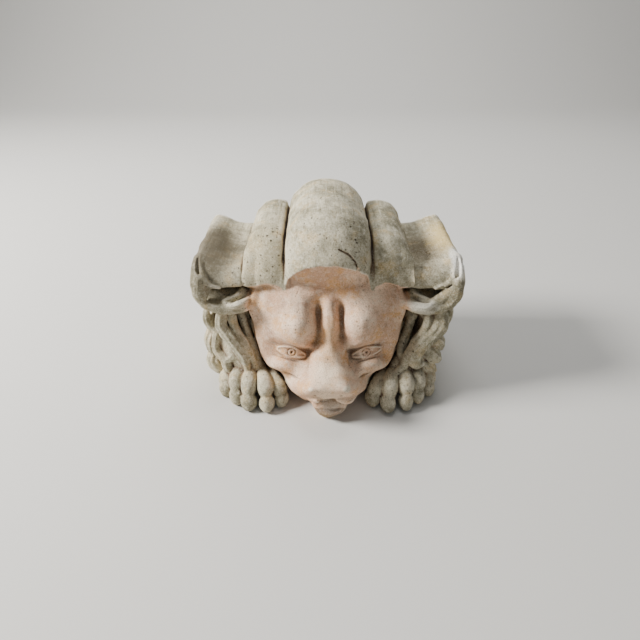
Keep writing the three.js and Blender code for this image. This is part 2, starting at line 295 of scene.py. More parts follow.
clay.add((-102, -45, 70), (102, 75, 141), hood)
print("hood: highest point at", round(float(hood_top(np.zeros(1))[0]), 1), "mm")

# %% [markdown]
# ## The block behind
# The casting's middle is a plain block, flat behind and below. On its sides the mane runs on as
# long wavy locks, plainer than in front because they were never meant to be seen close up. They
# are one wave pattern with a finer one inside it, pushed sideways by a slow curve.

# %% The block and its side locks
def block(x, y, z):
    half = HALF_WIDTH - 10 - 8 * (1 - step(0, LIP_HEIGHT / 4, z))
    depth = BACK_FACE - BODY_FRONT
    drift = 6 * np.sin((z / LIP_HEIGHT) * math.pi * 2.2) - z * 0.12
    phase = ((y + drift - BODY_FRONT) / depth) * 4 * math.pi
    lock = np.abs(np.sin(phase))
    hairs = np.abs(np.sin(phase * 3 + 0.8 * np.sin(z / 9)))
    side = np.abs(x) - (half - 5 * (1 - lock) - 1.1 * (1 - hairs) * lock)
    front = BODY_FRONT - y
    roof = z - (LIP_HEIGHT + 2)
    return soft_max(np.maximum(side * 0.8, roof), front, 2)


clay.add((-96, -12, -2), (96, 75, LIP_HEIGHT + 6), block)
print("block: half-width at mid height", round(HALF_WIDTH - 10, 1), "mm")

# %% [markdown]
# ## The face
# The face is a relief over a plane that leans back by 35 degrees. Two numbers place each
# feature, how far it is from the middle and how far down from the brow. The relief is drawn on a
# fine sheet first, where a brow is one bump and a furrow is one dent, and then laid into the
# clay. This keeps the eyes crisp without a finer grid.

# %% The face's outline and its broad forms
FACE_WIDTH = [(-12, 50), (0, 57), (10, 60), (27, 56.5), (45, 53), (54, 49.5), (60, 44.5),
              (63.5, 37.5), (67, 34.5), (71, 32.5), (77, 29), (84, 19)]
MIDDLE_HEIGHT = [(-12, 4), (-6, 5), (9, 4), (21, 2.5), (31, 2), (48, -1), (58, -3), (66, -1),
                 (74, 1), (80, -1), (84, -6)]
EDGE_HEIGHT = [(-12, -8), (8, -8), (27, -13), (45, -18), (55, -20), (66, -19), (76, -17), (84, -16)]
NOSE_HEIGHT = [(40, 0), (48, 3), (56, 7.5), (64, 11.5), (71, 14), (75, 13.2), (79, 8.5), (82, 2),
               (84, 0)]
NOSE_WIDTH = [(40, 8), (50, 11), (58, 14.5), (66, 17.5), (74, 19), (84, 18)]
CHEEK_EDGE = [(50, 0), (57, 2.5), (62, 1.5), (67, -2), (72, 0)]


def broad_relief(a, down):
    share = np.minimum(1, a / through(FACE_WIDTH, down))
    edge = through(EDGE_HEIGHT, down)
    dome = edge + (through(MIDDLE_HEIGHT, down) - edge) * (1 - share ** 2.4)
    valley = -2.5 * bell(a, 0, 12) * bell(down, 6, 9)
    brow = 10.5 * bell(a, 24, 14.5) * bell(down, 29, 16.5)
    furrow_width = 3.4 + 1.4 * step(24, 42, down)
    furrow = -6.5 * bell(a, 8.5, furrow_width) * step(5, 20, down) * (1 - step(35, 48, down))
    inner_corner = -5.0 * bell(a, 14, 6.5) * bell(down, 43.5, 7)
    ridge = 2 * bell(a, 0, 5) * step(2, 16, down) * (1 - step(44, 56, down))
    brow_edge = 47 - 6.5 * step(12, 44, a)
    socket = (4 * step(18, 36, a) - 8.5) * step(brow_edge - 4.2, brow_edge + 1.2, down)
    socket = socket * (1 - step(50, 63, down)) * step(9, 17, a) * (1 - step(40, 52, a))
    cheekbone = 3.5 * bell(a, 36, 10) * bell(down, 57, 5.5)
    cheekbone = cheekbone + through(CHEEK_EDGE, down) * bell(a, 34, 12)
    nose = through(NOSE_HEIGHT, down) * np.exp(-((a / through(NOSE_WIDTH, down)) ** 3.2))
    pad = 6.0 * bell(a, 18, 10) * bell(down, 75, 8.5)
    return dome + valley + brow + furrow + inner_corner + ridge + socket + cheekbone + nose + pad

# %% [markdown]
# ### Eyes and nose
# Each eye is an almond that tilts up towards the temple: a shallow ball, a raised lid along the
# almond's edge, a ring for the iris and a drilled dot. The nose ends in one blunt edge over the
# mouth, with soft wings and two small dents for nostrils.

# %% Fine features of the relief
EYE_ACROSS, EYE_DOWN = 28.5, 48.0
EYE_TILT = math.radians(15)
EYE_LENGTH, EYE_HEIGHT = 11.8, 3.0
BALL_HEIGHT = 2.2
LID_HEIGHT, LID_WIDTH, LOWER_LID_DROP = 2.1, 0.95, 0.6
PUPIL_DEPTH, PUPIL_WIDTH = 2.4, 0.95
IRIS_RADIUS, IRIS_DEPTH = 2.9, 0.9


def fine_relief(a, down):
    u = (a - EYE_ACROSS) * math.cos(EYE_TILT) - (down - EYE_DOWN) * math.sin(EYE_TILT)
    v = (a - EYE_ACROSS) * math.sin(EYE_TILT) + (down - EYE_DOWN) * math.cos(EYE_TILT)
    lid_line = EYE_HEIGHT * np.clip(1 - (u / EYE_LENGTH) ** 2, 0, 1)
    inside = np.clip(1 - (u / EYE_LENGTH) ** 2 - (v / (EYE_HEIGHT + 0.6)) ** 2, 0, 1)
    ball = BALL_HEIGHT * np.sqrt(inside)
    rim_gap = np.abs(v) - lid_line
    almond = step(EYE_LENGTH + 1.5, EYE_LENGTH - 1.5, np.abs(u))
    lid = (LID_HEIGHT - LOWER_LID_DROP * (v > 0)) * bell(rim_gap, 0.6, LID_WIDTH) * almond
    from_pupil = np.hypot(u + 0.5, v)
    pupil = -PUPIL_DEPTH * bell(from_pupil, 0, PUPIL_WIDTH)
    pupil = pupil - IRIS_DEPTH * bell(from_pupil, IRIS_RADIUS, 0.6)
    under_lid = -1.3 * bell(v, EYE_HEIGHT + 2.9, 0.9) * bell(u, 0, 9)
    nostril = 1.6 * bell(a, 13, 2.6) * bell(down, 73.5, 3.2)
    nostril = nostril - 1.8 * bell(a, 9.5, 1.7) * bell(down, 78.6, 1.4)
    nose_end = 2.2 * bell(a, 0, 5) * bell(down, 80.5, 3)
    knob = 1.2 * bell(a, 0, 4) * bell(down, 11, 4)
    wrinkles = -0.7 * bell(a, 15, 1.1) * bell(down, 60, 6)
    wrinkles = wrinkles - 0.6 * bell(a, 19.5, 1.2) * bell(down, 64, 5)
    crease = -1.2 * bell(down, 66.5 - (a - 24) * 0.35, 1.1) * bell(a, 27, 7)
    return ball + lid + pupil + under_lid + nostril + nose_end + knob + wrinkles + crease


SHEET_STEP = 0.25
sheet_a = np.arange(-66, 66 + SHEET_STEP, SHEET_STEP)
sheet_down = np.arange(-14, 90 + SHEET_STEP, SHEET_STEP)
grid_a, grid_down = np.meshgrid(sheet_a, sheet_down, indexing="ij")
middle_drift = 1.6 * bell(grid_down, 30, 26)
from_middle = np.abs(grid_a - middle_drift)
sheet = broad_relief(from_middle, grid_down) + fine_relief(from_middle, grid_down)
left_furrow = bell(grid_a - middle_drift, -12, 5.5) * step(4, 20, grid_down)
sheet = sheet - 2.6 * left_furrow * (1 - step(40, 50, grid_down))
slope_a, slope_down = np.gradient(sheet, SHEET_STEP)
steepness = np.sqrt(1 + np.minimum(slope_a ** 2 + slope_down ** 2, 4))
width_here = through(FACE_WIDTH, sheet_down)


def softened(values, cells):
    shifts = range(-cells, cells + 1)
    for axis in (0, 1):
        values = sum(np.roll(values, shift, axis=axis) for shift in shifts) / len(shifts)
    return values


GOUGE_CELLS = 4
gouged = softened(sheet, GOUGE_CELLS) - sheet
print("face relief from", round(float(sheet.min()), 1), "to", round(float(sheet.max()), 1), "mm")


# %% Laying the face into the clay
def face_place(y, z):
    ahead = LIP_FRONT - y
    below = LIP_HEIGHT + 1 - z
    down = ahead * math.sin(FACE_LEAN) + below * math.cos(FACE_LEAN)
    height = ahead * math.cos(FACE_LEAN) - below * math.sin(FACE_LEAN)
    return down, height


def on_sheet(values, x, down):
    column = np.clip((x - sheet_a[0]) / SHEET_STEP, 0, len(sheet_a) - 2)
    row = np.clip((down - sheet_down[0]) / SHEET_STEP, 0, len(sheet_down) - 2)
    column, row = np.broadcast_arrays(column, row)
    i, j = column.astype(int), row.astype(int)
    s, t = column - i, row - j
    before = values[i, j] * (1 - t) + values[i, j + 1] * t
    after = values[i + 1, j] * (1 - t) + values[i + 1, j + 1] * t
    return before * (1 - s) + after * s


def face(x, y, z):
    down, height = face_place(y, z)
    above = (height - on_sheet(sheet, x, down)) / on_sheet(steepness, x, down)
    outside = np.abs(x) - np.interp(down, sheet_down, width_here)
    beyond = np.maximum(down - 84, -12 - down)
    whole = soft_max(above, outside, 4)
    whole = soft_max(whole, beyond, 1.5)
    return np.maximum(whole, -42 - height)


def face_blend(y, z):
    return 1 + 6 * step(8, -3, face_place(y, z)[0])


place, grids = clay.window((-64, -78, 8), (64, 8, 106))
clay.field[place] = soft_min(clay.field[place], face(*grids), face_blend(grids[1], grids[2]))

# %% [markdown]
# ## Jaw and mouth
# The lower jaw narrows to a chin that touches the ground. Its width and depth at each height come
# from short lists, so it is a soft cone. The mouth is a shallow bowl under the upper lip with a
# blunt tongue in it and a rolled lower lip around it.

# %% The jaw, the throat and the mouth
JAW_LEVELS = [0, 4, 9, 15, 25]
JAW_WIDTH = [7, 10, 13, 17, 21]
JAW_DEPTH = [9, 12.5, 14, 15, 17]
JAW_MIDDLE = [-56, -55, -53.5, -51, -44]
THROAT = [(0, -38, 12), (0, -10, 14), (0, 10, 14)]
MOUTH_CENTRE, MOUTH_RADII = (2.5, -70, 16.5), (9, 7, 5)
TONGUE_CENTRE, TONGUE_RADII = (3.5, -63.5, 14.8), (9, 5.4, 5.6)
LOWER_LIP = [(-9, -62, 18), (-8, -65.5, 12), (-1, -68.5, 8.5), (6, -68.5, 8.5), (12, -66, 12),
             (14, -61, 18)]
RIGHT_FOLD = [(8, -68, 22.5), (15, -66.5, 20.5), (21, -60, 22)]
LEFT_FOLD = [(-8, -69, 22), (-13, -65, 21), (-19, -58, 22)]


def jaw(x, y, z):
    wide = np.interp(z, JAW_LEVELS, JAW_WIDTH)
    deep_painted_shade = np.interp(z, JAW_LEVELS, JAW_DEPTH)
    middle = np.interp(z, JAW_LEVELS, JAW_MIDDLE)
    ring = np.hypot(x / wide, (y - middle) / deep_painted_shade)
    return np.maximum((ring - 1) * np.minimum(wide, deep_painted_shade) * 0.7, z - JAW_LEVELS[-1])


clay.add((-26, -72, -2), (26, -20, 28), jaw, 1.0)
add_rope(THROAT, lambda s: 20 + 8 * s, 3)
add_ellipsoid(MOUTH_CENTRE, MOUTH_RADII, 1.5, cut=True)
add_ellipsoid(TONGUE_CENTRE, TONGUE_RADII, 2)
add_rope(LOWER_LIP, lambda s: 1.7, 2.5)
add_rope(RIGHT_FOLD, lambda s: 2.6 + math.sin(math.pi * s), 2)
add_rope(LEFT_FOLD, lambda s: 2.2, 2)
print("jaw: from", JAW_WIDTH[0] * 2, "mm wide at the chin to", JAW_WIDTH[-1] * 2, "at the mouth")

# %% [markdown]
# ## Ears
# Each ear lies on its side right under the wing of the hood, a long cup framed by a rim that the
# hood's outer edge flows into. The cup is cut after the shell is added, and tufts of hair are
# put back into it. One thick tuft on each side hangs over the rim, and no two are alike.

# %% The ears
EAR_CENTRE, EAR_RADII = (76, -12, 75), (20, 14, 8.5)
CUP_CENTRE, CUP_RADII = (75, -18, 81.8), (17, 18, 5.4)
EAR_RIM = [(95, -20, 92), (94.5, -24, 83), (87, -26.5, 75), (75, -27, 71.5), (64, -24.5, 71.5),
           (57, -21, 75), (54, -17, 80)]
THICK_TUFTS = [
    ([(60, -21, 76), (66, -27, 75.5), (73, -28, 76), (80, -25, 79)], 4.3),
    ([(-59, -20, 77.5), (-65, -26, 77), (-71, -27, 76), (-77, -25, 77.5)], 3.5),
]

for side in (-1, 1):
    shell_centre, cup_centre = mirrored((EAR_CENTRE, CUP_CENTRE), side)
    add_ellipsoid(shell_centre, EAR_RADII, 2)
    add_rope(mirrored(EAR_RIM, side), lambda s: 4.4 - 2.0 * step(0.1, 0.7, s), 3.0,
             groove=0.6, pitch=2.3)
    add_ellipsoid(cup_centre, CUP_RADII, 1.0, cut=True)
    for lift, inner in ((0, 61), (2.2, 64), (-2.4, 66)):
        tuft = [(inner, -12, 78 + lift), (68, -19, 77.5 + lift), (75 + lift, -23, 76.5 + lift / 2)]
        add_rope(mirrored(tuft, side), lambda s: 2.9 - 0.9 * s, 0.8, groove=0.5, pitch=2.2)
for tuft, radius in THICK_TUFTS:
    add_rope(tuft, lambda s: radius * (0.7 + 0.3 * math.sin(math.pi * s) - 0.45 * s * s), 0.8,
             groove=0.7, pitch=2.4)
add_rope([(94, -20, 90), (87, -23, 83), (80, -24, 78)], lambda s: 4.6 - 0.8 * s, 2.5)
print("ears: cups", 2 * CUP_RADII[0], "mm wide")

# %% [markdown]
# ## The mane in front
# Locks fall from the ears in S-curves, cross each other and end behind the toes. Each is one
# rope with gouged grooves. The two sides were carved freely, so each has its own list of locks,
# and deep hollows between the locks and the face are cut first.

# %% Hollows behind the mane
MANE_BODY = (17, 16, 34)
MANE_SLOPE = [(84, -6, 40), (76, -16, 34), (66, -24, 26), (58, -28, 18)]
# Where each gap lies across and up, how wide and how tall it is.
GAPS = [(-65.5, 52, 9, 14), (-88, 58, 3.5, 8), (65.5, 51, 9, 15), (89.5, 60, 3, 8)]
GAP_DEPTH = 11

for side in (-1, 1):
    add_ellipsoid((side * 77, -6, 42), MANE_BODY, 2)
    add_rope(mirrored(MANE_SLOPE, side), lambda s: 10.5, 3)
for x, z, wide, tall in GAPS:
    add_ellipsoid((x, -20, z), (wide, GAP_DEPTH, tall), 1.5, cut=True)
print("the mane's body is", 2 * MANE_BODY[2], "mm tall, with", len(GAPS), "gaps beside it")

# %% Locks of the mane
LEFT_LOCKS = [
    ([(-91.5, -13, 72), (-94, -14, 60), (-91, -16, 50), (-82, -20, 46)], 3.3),
    ([(-79, -21, 70), (-81, -25, 58), (-74, -28, 48), (-68, -31, 39), (-64, -34, 32),
      (-62, -38, 22)], 5.6),
    ([(-74, -20, 68), (-71, -24, 54), (-65, -28, 43), (-60, -31, 34), (-56, -35, 22)], 4.2),
    ([(-68, -12, 62), (-62, -20, 44), (-56, -26, 32), (-53, -33, 19)], 3.6),
    ([(-59, -10, 52), (-52, -21, 36), (-46, -29, 26), (-40, -36, 19)], 3.6),
    ([(-87, -20, 44), (-88, -22, 33), (-80, -27, 26), (-73, -28, 31), (-76, -27, 39)], 4.0),
    ([(-90, -12, 45), (-93, -14, 35), (-92, -17, 24)], 6.2),
    ([(-90, -11, 28), (-92, -16, 17), (-86, -22, 8)], 6.4),
    ([(-82, -24, 28), (-79, -29, 21), (-76, -30, 15)], 4.6),
]
RIGHT_LOCKS = [
    ([(84, -21, 72), (86, -25, 61), (81, -28, 52), (72, -31, 44), (67, -34, 36), (68, -36, 29),
      (73, -35, 28)], 6.8),
    ([(77, -20, 69), (75, -26, 56), (67, -30, 43), (61, -34, 33), (60, -37, 25)], 4.4),
    ([(94, -12, 72), (94.5, -13, 57), (90, -17, 48), (83, -22, 42)], 3.0),
    ([(67, -12, 58), (61, -19, 42), (58, -26, 33), (60, -33, 27), (54, -39, 22),
      (41, -43, 18)], 4.2),
    ([(59, -10, 50), (53, -20, 36), (47, -28, 26), (41, -34, 20)], 3.2),
    ([(80, -20, 44), (86, -21, 40), (92, -17, 30)], 6.2),
    ([(76, -25, 36), (83, -24, 29), (90, -19, 20)], 6.4),
    ([(73, -27, 24), (80, -26, 16), (88, -21, 10)], 6.2),
]
LOCK_THICKNESS = [(0, 0.85), (0.25, 1.0), (0.7, 0.9), (1, 0.35)]

for points, radius in LEFT_LOCKS + RIGHT_LOCKS:
    outward = (math.copysign(0.4, points[0][0]), -0.87, 0.1)
    depth = 0.45 + 0.07 * radius
    add_rope(points, lambda s: float(through(LOCK_THICKNESS, s)) * radius, 0.8, count=20,
             groove=depth, pitch=2.2 + 0.25 * radius, outward=outward)
print("mane:", len(LEFT_LOCKS), "locks on the left,", len(RIGHT_LOCKS), "on the right")

# %% [markdown]
# ## Paws
# A paw is five toes side by side. Each toe starts at the wrist, swells at the knuckle, narrows
# and swells again at its tip, so one rope with a changing thickness makes it. The toes meet in
# sharp valleys, which is why they are joined with almost no softness.

# %% Paws
KNUCKLES = [(80, -29, 11), (70.5, -37, 15.5), (60.5, -43, 17.5), (48.5, -45, 17), (39, -43, 13.5)]
TIPS = [(80, -37, 6.5), (70.5, -46.5, 7), (60.5, -53, 7.5), (46.5, -55, 7.5), (35.5, -49, 7)]
TOE_THICKNESS = [(0, 5), (0.3, 6.6), (0.42, 6.0), (0.6, 4.2), (0.8, 6.1), (1, 4.4)]

for side in (-1, 1):
    add_ellipsoid((side * 62, -26, 10), (20, 18, 15), 1)
    for knuckle, tip in zip(KNUCKLES, TIPS):
        knuckle = np.array(knuckle, float) * (side, 1, 1)
        tip = np.array(tip, float) * (side, 1, 1)
        wrist = np.array((side * (62 + (abs(knuckle[0]) - 62) * 0.45), -20, 18))
        waist = (knuckle + tip) / 2 + (0, -1.5, 0.5)
        end = tip + (0, -3.5, -2.5)
        toe = [wrist, knuckle, waist, tip, end]
        add_rope(toe, lambda s: float(through(TOE_THICKNESS, s)), 0.6, count=18)
print("paws:", len(KNUCKLES), "toes on each")

# %% [markdown]
# ## Slits, cracks and damage
# The curl of each wing's rim has a narrow slit beside it. Age did the rest: a crack at the
# front corner of the main rib and a bruised rim on the right wing. Real damage is uneven, so the
# chips in that rim come from a seeded random list. The surface as a whole gets a faint wobble.

# %% Slits and damage
RIM_ROLL = [(95.5, -4, 102), (95.5, -13, 98), (95, -19, 92), (93, -23, 84)]
RIM_RIDGE = [(92, -12, 102), (91, -18, 97), (87, -21.5, 91), (79, -21.5, 88)]
RIM_SLIT = [(95.5, -8, 105.5), (95, -15, 101.5), (93.3, -20, 95.5), (89, -22.5, 90.5),
            (83, -23, 88.5)]
RIGHT_SLIT = [(84, -23, 90), (77, -22.5, 87), (70, -21.5, 86.5)]
CRACK = [(7, -26.8, 121.3), (12, -27.4, 119), (15.5, -27.8, 116.5), (18.5, -28.6, 112.5),
         (20, -29.8, 108), (23, -29.5, 103)]
CRACK_NICKS = [(18.5, -29, 111.5), (16.8, -28.6, 115), (21.5, -29.8, 107)]
RIM_CHIPS = 9
RIM_MIDDLE = 104
chance = np.random.default_rng(7)

for side in (-1, 1):
    add_rope(mirrored(RIM_ROLL, side), lambda s: 4.2 + 0.6 * s, 3)
    add_rope(mirrored(RIM_RIDGE, side), lambda s: 0.6 + 1.3 * math.sin(math.pi * s), 1.5)
    add_rope(mirrored(RIM_SLIT, side), lambda s: 0.6 + 0.9 * math.sin(math.pi * s), 0.4, cut=True)
add_rope(RIGHT_SLIT, lambda s: 1.1 - 0.5 * s, 0.4, cut=True)
add_rope(CRACK, lambda s: 0.5 + 0.7 * s, 0.2, cut=True)
for spot in CRACK_NICKS:
    add_ellipsoid(spot, (1.9, 1.6, 1.3), 0.4, cut=True)
for _ in range(RIM_CHIPS):
    across, along, up = chance.normal(0, 0.5), chance.uniform(-21, 4), chance.normal(0, 3)
    spot = (HALF_WIDTH - 0.5 + across, along, RIM_MIDDLE + up)
    add_ellipsoid(spot, tuple(chance.uniform(1.2, 2.6, 3)), 0.4, cut=True)
print("slits on both wings, one crack and", RIM_CHIPS, "chips in the right rim")


# %% Wobble and the block's limits
# The length and the height of each kind of wave, in mm.
WAVES = [(34, 0.22), (19, 0.14), (9, 0.09)]


def unevenness(x, y, z):
    total = 0
    for length, height in WAVES:
        for _ in range(3):
            turn = chance.normal(0, 1, 3)
            turn = turn / np.linalg.norm(turn) * 2 * math.pi / length
            lag = chance.uniform(0, 6)
            total = total + height * np.sin(turn[0] * x + turn[1] * y + turn[2] * z + lag)
    return total


place, (grid_x, grid_y, grid_z) = clay.window((-103, -79, -3), (103, 76, 142))
clay.field[place] += unevenness(grid_x, grid_y, grid_z).astype(np.float32)
clay.field = np.maximum(clay.field, (grid_y - BACK_FACE).astype(np.float32))
clay.field = np.maximum(clay.field, (-grid_z).astype(np.float32))
print("carved share of the block:", round(float((clay.field < 0).mean()), 3))

# %% [markdown]
# ## The skin
# A grid of distances turns into a mesh where the distance passes zero. That gives even, small
# faces everywhere, more than flat places need, so a decimate modifier then thins them where the
# surface is plain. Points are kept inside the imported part's box.

# %% Skinning the clay
PIECE_TRIANGLES = 190_000

distances = openvdb.FloatGrid(9.0)
distances.copyFromArray(clay.field)
points, triangles, quads = distances.convertToPolygons(isovalue=0.0, adaptivity=0.0)
points = points * clay.cell + clay.low + (0, shift_y, 0)
points = np.clip(points, low, high)
faces = quads.tolist() + triangles.tolist()
raw = bpy.data.meshes.new("raw_skin")
raw.from_pydata((points / 1000).tolist(), [], faces)
raw.update()
print("raw skin:", len(raw.polygons), "faces")

# %% Thinning it
sculpt = bpy.data.objects.new("carved_lion", raw)
bpy.context.scene.collection.objects.link(sculpt)
thin = sculpt.modifiers.new("thin", "DECIMATE")
thin.ratio = min(1.0, PIECE_TRIANGLES / (2 * len(quads) + len(triangles)))
evaluated = sculpt.evaluated_get(bpy.context.evaluated_depsgraph_get())
mesh = bpy.data.meshes.new_from_object(evaluated)
sculpt.modifiers.clear()
sculpt.data = mesh
mesh.name = "carved_lion"
count = len(mesh.vertices)
spots = np.empty(count * 3)
mesh.vertices.foreach_get("co", spots)
spots = np.clip(spots.reshape(-1, 3), np.array(cad_box[0]) + 1e-6, np.array(cad_box[1]) - 1e-6)
mesh.vertices.foreach_set("co", spots.ravel())
mesh.shade_smooth()
print("carved_lion:", len(mesh.polygons), "triangles")

# %% [markdown]
# ## What the surface knows
# Dirt collects in hollows and wears off edges, and the material paints shade into the hollows
# and a highlight onto the edges too. Both can be read from the block: blur it, and on a flat
# face half of what lies around a point is stone. In a hollow it is more and on an edge less.
# Each point keeps these numbers, and the material reads them by name.

# %% Hollows and edges
# How far each blur reaches in mm, how much it counts, and how steep it is.
BLURS = [(2.1, 0.35, 3.2), (4.2, 0.35, 3.0), (9.1, 0.45, 2.6)]
EDGE_REACH = 5
CRACK_REACH = 0.9

spots = spots * 1000 - (0, shift_y, 0)
directions = np.empty(count * 3)
mesh.vertex_normals.foreach_get("vector", directions)
directions = directions.reshape(-1, 3)


def blurred(values, reach):
    width = int(round(reach / CELL))
    values = np.pad(values, width)
    for axis in range(3):
        total = np.cumsum(values, axis=axis)
        ahead, behind = np.roll(total, -width, axis=axis), np.roll(total, width, axis=axis)
        values = (ahead - behind) / (2 * width)
    inner = slice(width, -width)
    return values[inner, inner, inner]


solid = (clay.field < 0).astype(np.float32)
hollow = np.zeros(count)
edge = np.zeros(count)
for reach, weight, gain in BLURS:
    crowd = clay.sample(spots, blurred(solid, reach)) - 0.5
    hollow += weight * np.clip(crowd * gain, 0, 1.4)
    edge += (reach < EDGE_REACH) * np.clip(-crowd * 2.2 - 0.1, 0, 1) * 0.7
beside_rib = bell(np.abs(spots[:, 0]), MAIN_HALF + SIDE_RIB, 2.2) * (spots[:, 2] > LIP_HEIGHT)
edge = np.clip(edge * (1 - 0.85 * beside_rib), 0, 1)
# The crack line is painted dark through the hollow numbers: dirt and painted shade inside it.
crack_points = smooth_path(CRACK, 60)
from_crack = np.min([np.linalg.norm(spots - point, axis=1) for point in crack_points], axis=0)
hollow = np.maximum(hollow, np.exp(-(from_crack / CRACK_REACH) ** 2))
print("points on an edge:", int((edge > 0.3).sum()), "of", count)

# %% [markdown]
# The face is a patch of its own: in front of the block, under the lip, between the locks and
# above the paws. Only there do the chisel's gouges get dirt and painted shade, and their crests
# wear and a painted highlight.

# %% The face's area
spots_down, spots_height = face_place(spots[:, 1], spots[:, 2])
face_area = step(7, -3, np.abs(spots[:, 0]) - np.interp(spots_down, sheet_down, width_here))
face_area *= step(-34, -26, spots_height)
face_area *= step(-4, -10, spots[:, 1])
lip = LIP_HEIGHT + lip_rise(hood_top(spots[:, 0]) - LIP_HEIGHT)
under_lip = np.maximum(step(1.2, -0.8, spots[:, 2] - lip), step(-0.1, -0.35, directions[:, 2]))
face_area *= under_lip
face_area *= step(34, 27, np.abs(spots[:, 0]) * (spots[:, 2] < 22))
off_sheet = np.abs(spots_height - on_sheet(sheet, spots[:, 0], spots_down))
gouge_here = on_sheet(gouged, spots[:, 0], spots_down)
gouge_here = gouge_here * step(6, 3, off_sheet) * step(-11, -8, spots_down)
# The face's fine hollows get dirt and painted shade, and their crests wear and a painted highlight.
hollow += 0.8 * np.clip(gouge_here * 2.6 - 0.15, 0, 1) * face_area
edge += 0.45 * np.clip(-gouge_here * 2.6 - 0.2, 0, 1) * face_area
for name, values in (("hollow", hollow), ("edge", edge), ("face_area", face_area)):
    layer = mesh.attributes.new(name, "FLOAT", "POINT")
    layer.data.foreach_set("value", values.astype(np.float32))
    print(name, "mean", round(float(values.mean()), 3), "most", round(float(values.max()), 3))

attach(sculpt, "root")
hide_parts("gargoyle_head")

# %% [markdown]
# ## Writing shaders as sums
# A material is a sum of masks and colours. Written with the node editor it is hard to read, so
# this small class wraps a socket and lets ordinary operators add the Math nodes. Colours are
# mixed with Mix nodes, because a Math node would turn them grey.

# %% A class for shader sums
class Value:
    def __init__(self, tree, socket):
        self.tree = tree
        self.socket = socket

    def math(self, operation, *others):
        node = self.tree.nodes.new("ShaderNodeMath")
        node.operation = operation
        for place, item in enumerate((self, *others)):
            if isinstance(item, Value):
                self.tree.links.new(item.socket, node.inputs[place])
            else:
                node.inputs[place].default_value = item
        return Value(self.tree, node.outputs[0])

    def __add__(self, other):
        return self.math("ADD", other)

    __radd__ = __add__

    def __mul__(self, other):
        return self.math("MULTIPLY", other)

    __rmul__ = __mul__

    def __sub__(self, other):
        return self.math("SUBTRACT", other)

    def __rsub__(self, other):
        return (self * -1) + other

    def ramp(self, start, stop):
        node = self.tree.nodes.new("ShaderNodeMapRange")
        node.interpolation_type = "SMOOTHSTEP"
        node.inputs["From Min"].default_value = start
        node.inputs["From Max"].default_value = stop
        self.tree.links.new(self.socket, node.inputs["Value"])
        return Value(self.tree, node.outputs["Result"])


class Material:
    def __init__(self, name):
        self.material = bpy.data.materials.new(name)
        self.material.use_nodes = True
        self.tree = self.material.node_tree
        self.shader = self.tree.nodes["Principled BSDF"]

    def node(self, kind, settings=None, inputs=None, output=0):
        node = self.tree.nodes.new(kind)
        for name, value in (settings or {}).items():
            setattr(node, name, value)
        for name, value in (inputs or {}).items():
            self.give(node.inputs[name], value)
        return Value(self.tree, node.outputs[output])

    def give(self, socket, value):
        if isinstance(value, Value):
            self.tree.links.new(value.socket, socket)
        else:
            socket.default_value = value

    def mix(self, share, first, second, blend="MIX"):
        node = self.tree.nodes.new("ShaderNodeMix")
        node.data_type = "RGBA"
        node.blend_type = blend
        self.give(node.inputs[0], share)
        self.give(node.inputs[6], first)
        self.give(node.inputs[7], second)
        return Value(self.tree, node.outputs[2])

    def noise(self, scale, detail=3.0, rough=0.55, stretch=(1, 1, 1)):
        spot = self.node("ShaderNodeTexCoord", output="Object")
        if stretch != (1, 1, 1):
            spot = self.node("ShaderNodeVectorMath", {"operation": "MULTIPLY"},
                             {0: spot, 1: stretch})
        settings = {"Vector": spot, "Scale": scale, "Detail": detail, "Roughness": rough}
        return self.node("ShaderNodeTexNoise", {}, settings)

    def layer(self, name):
        return self.node("ShaderNodeAttribute", {"attribute_name": name}, output="Fac")


def colour(red, green, blue):
    linear = []
    for part in (red, green, blue):
        part = part / 255
        linear.append(part / 12.92 if part <= 0.04045 else ((part + 0.055) / 1.055) ** 2.4)
    return (*linear, 1.0)


print("a mid grey is", round(colour(128, 128, 128)[0], 3), "in linear light")

# %% [markdown]
# ## Weathered cast stone
# The casting is a matt, slightly sandy cream. A grey-green wash stays on the hood and the paws,
# the face is pinkish tan and paler in patches with a painted highlight on the nose, and brown dirt
# mixed with painted shade sits in every hollow, darkest in the deepest ones. Edges carry wear and a
# painted highlight. Brush marks run back along the ribs, and air bubbles left pinholes, painted
# dark as shade. Each colour below is laid over the ones before it, as far as its mask reaches.

# %% The stone's colours
stone = Material("cast_stone")
hollow_layer = stone.layer("hollow")
edge_layer = stone.layer("edge")
face_layer = stone.layer("face_area")
cloud = stone.noise(28, 4)
patch = stone.noise(75, 4, 0.6)
mottle = stone.noise(260, 4, 0.65)
speck = stone.noise(620, 3, 0.7)
grain = stone.noise(1400, 2, 0.7)
brushed = stone.noise(1, 3, 0.6, stretch=(560, 38, 560))


def layered(base, layers):
    for share, tone in layers:
        base = stone.mix(share, base, colour(*tone))
    return base


wash = stone.mix(cloud.ramp(0.38, 0.62), colour(138, 132, 107), colour(201, 193, 167))
wash = layered(wash, [
    (patch.ramp(0.5, 0.72) * 0.6, (206, 178, 124)),
    (patch.ramp(0.48, 0.34) * 0.5, (118, 114, 92)),
    (mottle.ramp(0.48, 0.7) * 0.45, (226, 218, 194)),
    (mottle.ramp(0.44, 0.3) * 0.4, (104, 97, 74)),
    (brushed.ramp(0.5, 0.72) * 0.45, (108, 100, 76)),
    (brushed.ramp(0.46, 0.3) * 0.4, (228, 221, 200)),
])
flesh = stone.mix(cloud.ramp(0.38, 0.64), colour(206, 164, 132), colour(238, 207, 178))
flesh = layered(flesh, [
    (patch.ramp(0.5, 0.64) * 0.85, (220, 170, 118)),
    (patch.ramp(0.45, 0.32) * 0.6, (176, 144, 124)),
    (mottle.ramp(0.46, 0.72) * 0.6, (240, 220, 196)),
])
face_mask = (face_layer + (patch - 0.5) * 0.6).ramp(0.25, 0.75)
